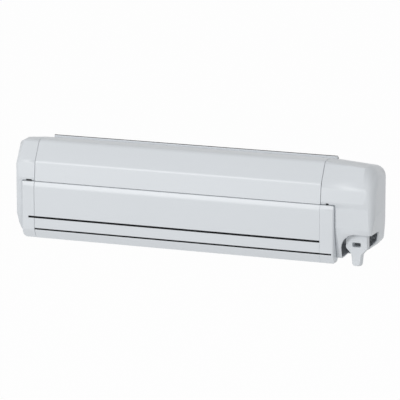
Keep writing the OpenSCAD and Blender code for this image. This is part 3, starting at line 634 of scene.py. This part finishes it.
class Recipe:
    """A Geometry Nodes tree with named inputs, which ends in real geometry of one material."""

    def __init__(self, name, **inputs):
        self.tree = bpy.data.node_groups.new(name, "GeometryNodeTree")
        face = self.tree.interface
        face.new_socket("Geometry", in_out="INPUT", socket_type="NodeSocketGeometry")
        self.ids = {}
        for key, kind in {**inputs, "finish": "Material"}.items():
            socket = face.new_socket(key, in_out="INPUT", socket_type="NodeSocket" + kind)
            self.ids[key] = socket.identifier
        face.new_socket("Geometry", in_out="OUTPUT", socket_type="NodeSocketGeometry")
        self.source = self.tree.nodes.new("NodeGroupInput")

    def __getitem__(self, key):
        return self.source.outputs[key]

    def add(self, kind, settings, sockets):
        """A new node: its settings first, then the values, links or lists of links of its sockets."""
        node = self.tree.nodes.new(kind)
        for key, value in settings.items():
            setattr(node, key, value)
        for key, value in sockets.items():
            for one in value if isinstance(value, list) else [value]:
                if isinstance(one, bpy.types.NodeSocket):
                    self.tree.links.new(one, node.inputs[key])
                else:
                    node.inputs[key].default_value = one
        return node.outputs[0]

    def moved(self, geometry, place=(0, 0, 0), turn=(0, 0, 0)):
        """The geometry turned about the origin, then set at a place."""
        return self.add(
            "GeometryNodeTransform",
            {},
            {"Geometry": geometry, "Translation": place, "Rotation": turn},
        )

    def close(self, geometry):
        """Ends the tree: instances made real, then the material."""
        real = self.add("GeometryNodeRealizeInstances", {}, {0: geometry})
        done = self.add("GeometryNodeSetMaterial", {}, {"Geometry": real, "Material": self["finish"]})
        self.tree.links.new(done, self.tree.nodes.new("NodeGroupOutput").inputs[0])
        return self

    def mesh(self, name, base, **values):
        """What the tree makes of a base mesh, as a plain mesh."""
        maker = bpy.data.objects.new(name, base)
        modifier = maker.modifiers.new("recipe", "NODES")
        modifier.node_group = self.tree
        for key, value in values.items():
            modifier[self.ids[key]] = value
        mesh = evaluated(maker)
        mesh.shade_smooth()
        mesh.set_sharp_from_angle(angle=ROW_ANGLE)
        return mesh


def seats(places, axes):
    """A mesh of loose points, each with the axis that stands out of it."""
    mesh = bpy.data.meshes.new("seats")
    mesh.from_pydata(places, [], [])
    mark = mesh.attributes.new("axis", "FLOAT_VECTOR", "POINT")
    mark.data.foreach_set("vector", [c for axis in axes for c in axis])
    return mesh


def screw_recipe(head_sides=32, shank_sides=20):
    """Pan-head screws with a cross recess, standing on points."""
    r = Recipe(
        "cross_screws",
        head_radius="Float",
        head_top="Float",
        head_height="Float",
        shank_radius="Float",
        shank_length="Float",
        shank_place="Vector",
        recess="Vector",
        recess_place="Vector",
    )
    head = r.add(
        "GeometryNodeMeshCone",
        {},
        {
            "Vertices": head_sides,
            "Radius Top": r["head_top"],
            "Radius Bottom": r["head_radius"],
            "Depth": r["head_height"],
        },
    )
    bar = r.moved(r.add("GeometryNodeMeshCube", {}, {"Size": r["recess"]}), r["recess_place"])
    cross = r.moved(bar, turn=(0, 0, math.pi / 2))
    cut = r.add(
        "GeometryNodeMeshBoolean",
        {"operation": "DIFFERENCE", "solver": "MANIFOLD"},
        {"Mesh 1": head, "Mesh 2": [bar, cross]},
    )
    rod = r.add(
        "GeometryNodeMeshCylinder",
        {},
        {"Vertices": shank_sides, "Radius": r["shank_radius"], "Depth": r["shank_length"]},
    )
    screw = r.add("GeometryNodeJoinGeometry", {}, {0: [cut, r.moved(rod, r["shank_place"])]})
    axis = r.add("GeometryNodeInputNamedAttribute", {"data_type": "FLOAT_VECTOR"}, {"Name": "axis"})
    turn = r.add("FunctionNodeAlignRotationToVector", {"axis": "Z"}, {"Vector": axis})
    stands = r.add(
        "GeometryNodeInstanceOnPoints",
        {},
        {"Points": r["Geometry"], "Instance": screw, "Rotation": turn},
    )
    return r.close(stands)


def row_recipe():
    """Equal bars in a row: ribs, or the stitches of a seam."""
    r = Recipe("bar_row", count="Int", start="Vector", step="Vector", size="Vector")
    line = r.add(
        "GeometryNodeMeshLine",
        {},
        {"Count": r["count"], "Start Location": r["start"], "Offset": r["step"]},
    )
    bar = r.add("GeometryNodeMeshCube", {}, {"Size": r["size"]})
    return r.close(r.add("GeometryNodeInstanceOnPoints", {}, {"Points": line, "Instance": bar}))


class AWNING_OT_dress_frame(bpy.types.Operator):
    """Gives every CAD node the finish of its slot"""

    bl_idname = "awning.dress_frame"
    bl_label = "Dress the Frame"

    def execute(self, context):
        for name, node in NODES.items():
            set_finish(node.data, finishes()[SLOT_FINISH[SLOT_OF[name]]])
        return {"FINISHED"}


class AWNING_OT_case_skins(bpy.types.Operator):
    """Makes smooth skins of the case, its end caps, its seals and the shoulder brackets"""

    bl_idname = "awning.case_skins"
    bl_label = "Make Case"

    # Each piece's easing width in mm
    PARTS = {
        "case_profile": 0.35,
        "rear_seal": 0.3,
        "hood_seal": 0.3,
        "rail_stops": 0.3,
        "left_shoulder_bracket": 0.6,
        "right_shoulder_bracket": 0.6,
        "left_shoulder_pin": 0.4,
        "right_shoulder_pin": 0.4,
        "winch_bush": 0.3,
        "winch_eye": 0.9,
    }
    # Each end cap's easing width in mm, and the reach and flat area that even its normals
    CAPS = {
        "left_end_cap": (0.8, 6 * MM, 400 * MM * MM),
        "right_end_cap": (0.8, 8 * MM, 900 * MM * MM),
    }
    # The top rail is sought this far below the rear seal's top and before its front
    RAIL_BELOW = 0.5 * MM
    RAIL_BEFORE = 5 * MM
    # The clearance from the rail of the dark strip of painted shade, and its steps to each side of
    # the top
    SHADE_STRIP_OFF = 0.02 * MM
    SHADE_STRIP_STEPS = 8

    def execute(self, context):
        make_skins(self.PARTS)
        for cap, (width, reach, flat) in self.CAPS.items():
            make_skins({cap: width}, reach, flat)
        self.shade_strip(context.scene.awning_details)
        return {"FINISHED"}

    def shade_strip(self, cut):
        """A thin black strip on the rounded top of the case's upright rail: painted shade, a dark
        line where the rail's top edge falls in shade.
        """
        low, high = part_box("rear_seal")
        rail = [
            v.co
            for v in NODES["case_profile"].data.vertices
            if v.co.z > high[2] - self.RAIL_BELOW and v.co.y > low[1] - self.RAIL_BEFORE
        ]
        front = min(p.y for p in rail)
        radius = (max(p.y for p in rail) - front) / 2
        middle = (front + radius, max(p.z for p in rail) - radius)
        steps = self.SHADE_STRIP_STEPS
        turns = [cut.shade_strip_angle * i / steps for i in range(-steps, steps + 1)]
        arcs = [(radius + self.SHADE_STRIP_OFF, turn) for turn in turns]
        arcs += [(radius + cut.shade_strip, turn) for turn in reversed(turns)]
        ring = [(middle[0] + r * math.sin(turn), middle[1] + r * math.cos(turn)) for r, turn in arcs]
        count = len(ring)
        faces = [(i, (i + 1) % count, count + (i + 1) % count, count + i) for i in range(count)]
        faces += [tuple(reversed(range(count))), tuple(range(count, 2 * count))]
        mesh = bpy.data.meshes.new("rail_shade_strip")
        mesh.from_pydata([(x, y, z) for x in (low[0], high[0]) for y, z in ring], [], faces)
        outward(mesh)
        # The strip's black rubber finish is painted shade along the rail's top edge
        set_finish(mesh, finishes()["rubber"])
        new_piece("rail_shade_strip", mesh, BODY_OF["rear_seal"], "black_rubber")


class AWNING_OT_rail_skins(bpy.types.Operator):
    """Makes smooth skins of the lead rail, its caps and strips, and what is fixed to it"""

    bl_idname = "awning.rail_skins"
    bl_label = "Make Lead Rail"

    # Each piece's easing width in mm
    PARTS = {
        "lead_rail_profile": 0.3,
        "left_lead_cap": 0.5,
        "right_lead_cap": 0.5,
        "upper_strip": 0.25,
        "lower_strip": 0.25,
        "wrist_brackets": 0.5,
        "leg_hinges": 0.4,
        "leg_clips": 0.3,
    }

    def execute(self, context):
        make_skins(self.PARTS)
        return {"FINISHED"}


class AWNING_OT_arm_skins(bpy.types.Operator):
    """Makes smooth skins of both folding arms and of the roller that they draw the canopy from"""

    bl_idname = "awning.arm_skins"
    bl_label = "Make Arms"

    # Each piece's easing width in mm
    PARTS = {
        "upper_arm_tube": 0.0,
        "shoulder_knuckle": 0.6,
        "elbow_fork": 0.6,
        "elbow_pin": 0.4,
        "forearm_tube": 0.0,
        "elbow_tongue": 0.6,
        "wrist_knuckle": 0.6,
        "roller_plug": 0.4,
    }

    def execute(self, context):
        for side in ("left_", "right_"):
            make_skins({side + part: width for part, width in self.PARTS.items()})
        make_skins({"roller_tube": 0.2})
        return {"FINISHED"}


class AWNING_OT_leg_skins(bpy.types.Operator):
    """Makes smooth skins of both legs, with ribs on the soles of their rubber feet"""

    bl_idname = "awning.leg_skins"
    bl_label = "Make Legs"

    # Each piece's easing width in mm
    PARTS = {
        "leg_knuckle": 0.8,
        "leg_tube": 0.8,
        "leg_collar": 0.8,
        "leg_inner": 0.6,
        "leg_foot": 0.8,
    }
    # A rib's length as a share of the sole's width, and its own width as a share of the pitch
    RIB_LENGTH = 0.92
    RIB_WIDTH = 0.5

    def execute(self, context):
        ribs = context.scene.awning_details
        recipe = row_recipe()
        for side in ("left_", "right_"):
            make_skins({side + part: width for part, width in self.PARTS.items()})
            low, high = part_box(side + "leg_foot")
            sole = high[0] if side == "left_" else low[0]
            pitch = (high[2] - low[2]) / ribs.sole_ribs
            mesh = recipe.mesh(
                side + "foot_ribs",
                bpy.data.meshes.new("none"),
                count=ribs.sole_ribs,
                start=(sole, (low[1] + high[1]) / 2, low[2] + pitch / 2),
                step=(0.0, 0.0, pitch),
                size=(
                    2 * ribs.rib_height,
                    (high[1] - low[1]) * self.RIB_LENGTH,
                    pitch * self.RIB_WIDTH,
                ),
                finish=finishes()["rubber"],
            )
            new_piece(side + "foot_ribs", mesh, BODY_OF[side + "leg_foot"], "black_rubber")
        return {"FINISHED"}


class AWNING_OT_screws(bpy.types.Operator):
    """Makes the cross-recessed screws of the end caps and of the shoulder brackets"""

    bl_idname = "awning.screws"
    bl_label = "Make Screws"

    # Shares of a head's radius: its flat top, a bracket screw's shank, the recess's two sides
    HEAD_TOP = 0.78
    BRACKET_SHANK = 0.55
    RECESS_LENGTH = 1.15
    RECESS_WIDTH = 0.26
    # Share of a head's height
    RECESS_HEIGHT = 1.1

    def execute(self, context):
        recipe = screw_recipe()
        sizes = context.scene.awning_details
        low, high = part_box("cap_screws")
        radius = (high[1] - low[1]) / 2
        ends = ((low[0] + sizes.cap_head, -1.0), (high[0] - sizes.cap_head, 1.0))
        rises = (low[2] + radius, high[2] - radius)
        self.set_of(
            recipe,
            "cap_screws",
            [((x, low[1] + radius, z), (out, 0.0, 0.0)) for x, out in ends for z in rises],
            (radius, sizes.cap_head, sizes.cap_shank, sizes.cap_length),
        )
        low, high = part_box("bracket_screws")
        radius = sizes.bracket_head_radius
        depth = high[1] - low[1] - sizes.bracket_head
        self.set_of(
            recipe,
            "bracket_screws",
            [
                ((x, low[1] + sizes.bracket_head, z), (0.0, -1.0, 0.0))
                for x in (low[0] + radius, high[0] - radius)
                for z in (low[2] + radius, high[2] - radius)
            ],
            (radius, sizes.bracket_head, radius * self.BRACKET_SHANK, depth),
        )
        return {"FINISHED"}

    def set_of(self, recipe, name, stands, sizes):
        """One set of equal screws that stands for its CAD node."""
        radius, height, shank, length = sizes
        mesh = recipe.mesh(
            name,
            seats([place for place, axis in stands], [axis for place, axis in stands]),
            head_radius=radius,
            head_top=radius * self.HEAD_TOP,
            head_height=height,
            shank_radius=shank,
            shank_length=length,
            shank_place=(0.0, 0.0, -length / 2),
            recess=(
                radius * self.RECESS_LENGTH,
                radius * self.RECESS_WIDTH,
                height * self.RECESS_HEIGHT,
            ),
            recess_place=(0.0, 0.0, height),
            finish=finishes()["steel"],
        )
        new_piece(name + "_set", mesh, BODY_OF[name], "steel", name)


class AWNING_OT_canopy(bpy.types.Operator):
    """Winds the canopy on its roller, spans it to the lead rail and sews its hem"""

    bl_idname = "awning.canopy"
    bl_label = "Make Canopy"

    # Faces along a turn of the roll, the span and the panel, then across the roll and the sheets
    TURN_STEPS = 40
    SPAN_STEPS = 28
    PANEL_STEPS = 12
    ROLL_STRIPS = 6
    SHEET_STRIPS = 48
    # The outer face of the roll's first turn stands off the tube by this many thicknesses
    FIRST_TURN = 1.1
    # A stitch's length as a share of its pitch, and its height in thicknesses
    STITCH_LENGTH = 0.7
    STITCH_HEIGHT = 1.8

    def execute(self, context):
        cut = context.scene.awning_details
        self.roll(cut)
        self.span(cut)
        make_skins({"canopy_hem": 0.0})
        return {"FINISHED"}

    def cloth_mesh(self, name, rows, xs, thick, lengths, finish="cloth"):
        """A closed slab of cloth.

        Its rows of (y, z, normal y, normal z) follow its length, with a point at every x.
        """
        verts = []
        coords = []
        faces = []
        width = len(xs)
        for side in (0.0, -thick):
            for (y, z, ny, nz), v in zip(rows, lengths):
                for x in xs:
                    verts.append((x, y + ny * side, z + nz * side))
                    coords.append((x, v))
        back = len(rows) * width

        def at(i, j, side):
            return side * back + i * width + j

        for i in range(len(rows) - 1):
            for j in range(width - 1):
                top = (at(i, j, 0), at(i, j + 1, 0), at(i + 1, j + 1, 0), at(i + 1, j, 0))
                faces.append(top)
                faces.append(tuple(back + k for k in reversed(top)))
            for j in (0, width - 1):
                edge = (at(i, j, 0), at(i + 1, j, 0), at(i + 1, j, 1), at(i, j, 1))
                faces.append(edge if j == 0 else tuple(reversed(edge)))
        for i in (0, len(rows) - 1):
            for j in range(width - 1):
                end = (at(i, j, 0), at(i, j, 1), at(i, j + 1, 1), at(i, j + 1, 0))
                faces.append(end if i == 0 else tuple(reversed(end)))
        mesh = bpy.data.meshes.new(name)
        mesh.from_pydata(verts, [], faces)
        layer = mesh.uv_layers.new(name="UVMap")
        for loop in mesh.loops:
            layer.data[loop.index].uv = coords[loop.vertex_index]
        outward(mesh)
        set_finish(mesh, finishes()[finish])
        return mesh

    def across(self, count):
        """Places across the canopy, from edge to edge."""
        low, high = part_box("canopy_roll")
        return [low[0] + (high[0] - low[0]) * i / count for i in range(count + 1)]

    def roll(self, cut):
        """A spiral of cloth whose outer end lies under the roller, where the span leaves it."""
        low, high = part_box("canopy_roll")
        tube_low, tube_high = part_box("roller_tube")
        middle = ((low[1] + high[1]) / 2, (low[2] + high[2]) / 2)
        inner = (tube_high[2] - tube_low[2]) / 2 + cut.thickness * self.FIRST_TURN
        outer = (high[2] - low[2]) / 2
        steps = cut.turns * self.TURN_STEPS
        rows = []
        lengths = [0.0]
        for i in range(steps + 1):
            share = i / steps
            angle = -math.pi / 2 + 2 * math.pi * cut.turns * (1 - share)
            radius = inner + (outer - inner) * share
            ny = math.cos(angle)
            nz = math.sin(angle)
            rows.append((middle[0] + ny * radius, middle[1] + nz * radius, ny, nz))
            if i:
                lengths.append(lengths[-1] + radius * 2 * math.pi * cut.turns / steps)
        xs = self.across(self.ROLL_STRIPS)
        mesh = self.cloth_mesh("canopy_wound", rows, xs, cut.thickness, lengths, "wound")
        piece = new_piece("canopy_wound", mesh, BODY_OF["canopy_roll"], "canopy", "canopy_roll")

    def span(self, cut):
        """The sheet that the feed draws out, and the panel on the rail that it runs over."""
        low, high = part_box("canopy_sheet")
        half = cut.thickness / 2
        start = Vector((0.0, high[1], high[2] - half))
        end = Vector((0.0, low[1], low[2] + half))
        xs = self.across(self.SHEET_STRIPS)
        steps = self.SPAN_STEPS
        rows = []
        for i in range(steps + 1):
            t = i / steps
            spot = start.lerp(end, t)
            # The sag is a parabola, deepest midway
            rows.append((spot.y, spot.z + half - cut.sag * 4 * t * (1 - t), 0.0, 1.0))
        length = (end - start).length
        marks = [length * i / steps for i in range(steps + 1)]
        mesh = self.cloth_mesh("canopy_span", rows, xs, cut.thickness, marks)
        piece = new_piece("canopy_span", mesh, None, "canopy", "canopy_sheet")
        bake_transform(piece)
        slope = (start - end).normalized()
        drop = Vector((0.0, 0.0, -cut.sag - cut.gap - cut.thickness))
        steps = self.PANEL_STEPS
        marks = [cut.panel * i / steps for i in range(steps + 1)]
        spots = [end + slope * mark + drop for mark in marks]
        rows = [(spot.y, spot.z + half, 0.0, 1.0) for spot in spots]
        mesh = self.cloth_mesh("canopy_panel", rows, xs, cut.thickness, marks)
        panel = new_piece("canopy_panel", mesh, BODY_OF["canopy_hem"], "canopy")
        stitches = self.stitches(cut, end + slope * cut.seam_in + drop)

    def stitches(self, cut, middle):
        """One row of stitches through the panel, beside the rail."""
        xs = self.across(1)
        count = int((xs[1] - xs[0]) / cut.stitch)
        first = (xs[0] + xs[1] - cut.stitch * (count - 1)) / 2
        mesh = row_recipe().mesh(
            "canopy_stitches",
            bpy.data.meshes.new("none"),
            count=count,
            start=(first, middle.y, middle.z),
            step=(cut.stitch, 0.0, 0.0),
            size=(
                cut.stitch * self.STITCH_LENGTH,
                cut.thickness,
                cut.thickness * self.STITCH_HEIGHT,
            ),
            finish=finishes()["thread"],
        )
        return new_piece("canopy_stitches", mesh, BODY_OF["canopy_hem"], "canopy")


class AWNING_OT_stage(bpy.types.Operator):
    """Makes the floor, the lights, the world and the camera"""

    bl_idname = "awning.stage"
    bl_label = "Set the Stage"

    FLOOR_REACH = 12.0
    # How far the floor shows as plain white to the camera; the rest takes light and shadow
    FLOOR_WHITE = 0.97
    SENSOR_MM = 36.0
    SIGHT = 100.0

    def execute(self, context):
        view = context.scene.awning_view
        context.scene.view_settings.view_transform = "Standard"
        mesh = bpy.data.meshes.new("floor")
        reach = self.FLOOR_REACH
        corners = ((-reach, -reach), (reach, -reach), (reach, reach), (-reach, reach))
        mesh.from_pydata([(x, y, view.floor_drop) for x, y in corners], [], [(0, 1, 2, 3)])
        floor = bpy.data.objects.new("floor", mesh)
        context.scene.collection.objects.link(floor)
        mesh.materials.append(self.backdrop(view.floor_colour))
        self.world(context.scene, view.room)
        self.lamp("key", view.key_place, view.key_size, view.key)
        self.lamp("fill", view.fill_place, view.fill_size, view.fill)
        camera = bpy.data.objects.new("camera", bpy.data.cameras.new("camera"))
        context.scene.collection.objects.link(camera)
        camera.data.lens = view.lens
        camera.data.sensor_width = self.SENSOR_MM
        camera.data.clip_end = self.SIGHT
        camera.location = view.eye
        camera.rotation_euler = (math.pi / 2 - view.elevation, 0.0, view.azimuth)
        context.scene.camera = camera
        return {"FINISHED"}

    def backdrop(self, colour):
        """A pale floor that the camera sees as white and that still takes a soft shadow."""
        material = bpy.data.materials.new("pale_floor")
        material.use_nodes = True
        tree = material.node_tree
        shader = tree.nodes["Principled BSDF"]
        shader.inputs["Base Color"].default_value = rgba(colour)
        shader.inputs["Roughness"].default_value = 0.9
        glow = tree.nodes.new("ShaderNodeEmission")
        glow.inputs["Strength"].default_value = 1.0
        blend = tree.nodes.new("ShaderNodeMixShader")
        self.seen(tree, blend.inputs[0], self.FLOOR_WHITE)
        tree.links.new(shader.outputs[0], blend.inputs[1])
        tree.links.new(glow.outputs[0], blend.inputs[2])
        tree.links.new(blend.outputs[0], tree.nodes["Material Output"].inputs[0])
        return material

    def seen(self, tree, socket, share):
        """Feeds a socket with the share where a camera, mirror or glass ray looks."""
        path = tree.nodes.new("ShaderNodeLightPath")
        total = None
        for name in ("Is Camera Ray", "Is Glossy Ray", "Is Transmission Ray"):
            if total is None:
                total = path.outputs[name]
                continue
            top = tree.nodes.new("ShaderNodeMath")
            top.operation = "MAXIMUM"
            tree.links.new(total, top.inputs[0])
            tree.links.new(path.outputs[name], top.inputs[1])
            total = top.outputs[0]
        scaled = tree.nodes.new("ShaderNodeMath")
        scaled.operation = "MULTIPLY"
        scaled.inputs[1].default_value = share
        tree.links.new(total, scaled.inputs[0])
        tree.links.new(scaled.outputs[0], socket)

    def world(self, scene, strength):
        """Even white light, and a plain white background for the camera."""
        world = bpy.data.worlds.new("studio")
        scene.world = world
        world.use_nodes = True
        tree = world.node_tree
        light = tree.nodes["Background"]
        light.inputs["Color"].default_value = (1.0, 1.0, 1.0, 1.0)
        light.inputs["Strength"].default_value = strength
        white = tree.nodes.new("ShaderNodeBackground")
        white.inputs["Strength"].default_value = 1.0
        white.inputs["Color"].default_value = (1.0, 1.0, 1.0, 1.0)
        blend = tree.nodes.new("ShaderNodeMixShader")
        self.seen(tree, blend.inputs[0], 1.0)
        tree.links.new(light.outputs[0], blend.inputs[1])
        tree.links.new(white.outputs[0], blend.inputs[2])
        tree.links.new(blend.outputs[0], tree.nodes["World Output"].inputs[0])

    def lamp(self, name, place, size, power):
        """A soft square lamp that faces the awning."""
        data = bpy.data.lights.new(name, "AREA")
        data.size = size
        data.energy = power
        lamp = bpy.data.objects.new(name, data)
        bpy.context.scene.collection.objects.link(lamp)
        lamp.location = place
        lamp.rotation_euler = (-Vector(place)).to_track_quat("-Z", "Y").to_euler()


class AWNING_PT_panel(bpy.types.Panel):
    """The awning's pieces and settings"""

    bl_idname = "AWNING_PT_panel"
    bl_label = "Awning"
    bl_space_type = "VIEW_3D"
    bl_region_type = "UI"
    bl_category = "Awning"

    def draw(self, context):
        for step in STEPS:
            self.layout.operator(step.bl_idname)
        for group in ("awning_finishes", "awning_details", "awning_view"):
            settings = getattr(context.scene, group)
            for name in settings.bl_rna.properties.keys():
                if name not in ("rna_type", "name"):
                    self.layout.prop(settings, name)


STEPS = (
    AWNING_OT_dress_frame,
    AWNING_OT_case_skins,
    AWNING_OT_rail_skins,
    AWNING_OT_arm_skins,
    AWNING_OT_leg_skins,
    AWNING_OT_screws,
    AWNING_OT_canopy,
    AWNING_OT_stage,
)
GROUPS = (AwningFinishes, AwningDetails, AwningView)
CLASSES = GROUPS + STEPS + (AWNING_PT_panel,)


def register():
    for cls in CLASSES:
        bpy.utils.register_class(cls)
    bpy.types.Scene.awning_finishes = PointerProperty(type=AwningFinishes)
    bpy.types.Scene.awning_details = PointerProperty(type=AwningDetails)
    bpy.types.Scene.awning_view = PointerProperty(type=AwningView)


def unregister():
    del bpy.types.Scene.awning_view
    del bpy.types.Scene.awning_details
    del bpy.types.Scene.awning_finishes
    for cls in reversed(CLASSES):
        bpy.utils.unregister_class(cls)


def main():
    """Runs every step in order."""
    register()
    for step in STEPS:
        group, name = step.bl_idname.split(".")
        getattr(getattr(bpy.ops, group), name)()


if __name__ == "__main__":
    main()
